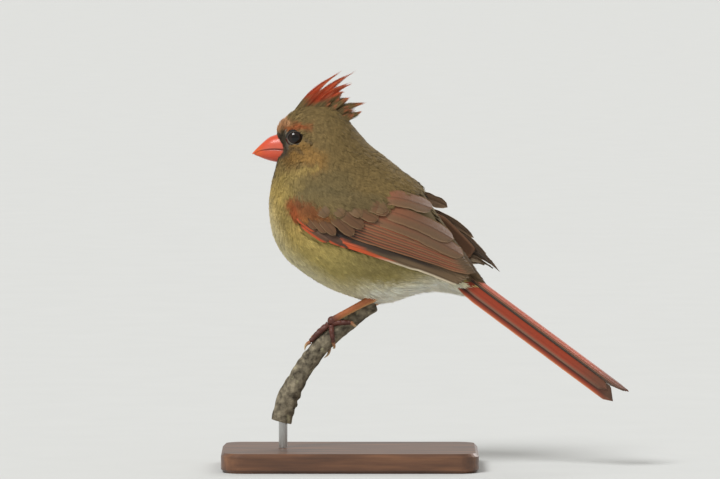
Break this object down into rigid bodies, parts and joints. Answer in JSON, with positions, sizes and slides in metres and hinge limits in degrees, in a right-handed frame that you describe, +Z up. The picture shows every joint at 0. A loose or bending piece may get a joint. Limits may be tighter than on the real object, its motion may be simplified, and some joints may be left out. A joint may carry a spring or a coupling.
{
  "type": "northern cardinal display model",
  "caption": "Life-size still model of a female northern cardinal with half-raised crest, gripping a short cut branch that a plain rod stand holds up",
  "frame": {"origin": "middle of the underside of the stand's base, on the floor", "axes": "+X from the bill towards the tail, +Y towards the bird's right side, +Z up; the bird's mid-plane is y = 0"},
  "size_m": [0.1872, 0.078, 0.1829],
  "materials": {
    "plumage_head": "fine matt feathers, olive brown with a dark grey face",
    "plumage_crest": "long thin feathers, deep red with paler salmon tips",
    "plumage_body": "soft matt feathers, olive brown above and buff below",
    "plumage_wing": "smooth satin flight feathers, brown with brick red edges",
    "plumage_tail": "smooth satin tail feathers, brick red with brown tips",
    "bill": "smooth horn, coral red orange, semi-gloss",
    "eye": "high gloss, near-black brown",
    "leg_skin": "scaly skin, orange brown, satin",
    "foot_skin": "scaly skin, dark red brown, with horn-coloured claws",
    "bark": "rough grey brown bark with pale lichen",
    "rod_steel": "brushed, satin",
    "base_wood": "dark walnut, satin lacquer"
  },
  "bodies": {
    "root": {"head": "plumage_head", "crest": "plumage_crest", "neck": "plumage_head", "trunk": "plumage_body", "undertail_and_rump": "plumage_body", "bill_upper": "bill", "bill_lower": "bill", "eye_left": "eye", "eye_right": "eye", "wing_left_coverts": "plumage_wing", "wing_left_flight": "plumage_wing", "wing_right_coverts": "plumage_wing", "wing_right_flight": "plumage_wing", "tail": "plumage_tail", "leg_left": "leg_skin", "leg_right": "leg_skin", "foot_left": "foot_skin", "foot_right": "foot_skin", "perch": "bark", "stand_rod": "rod_steel", "stand_base": "base_wood"}
  },
  "joints": []
}
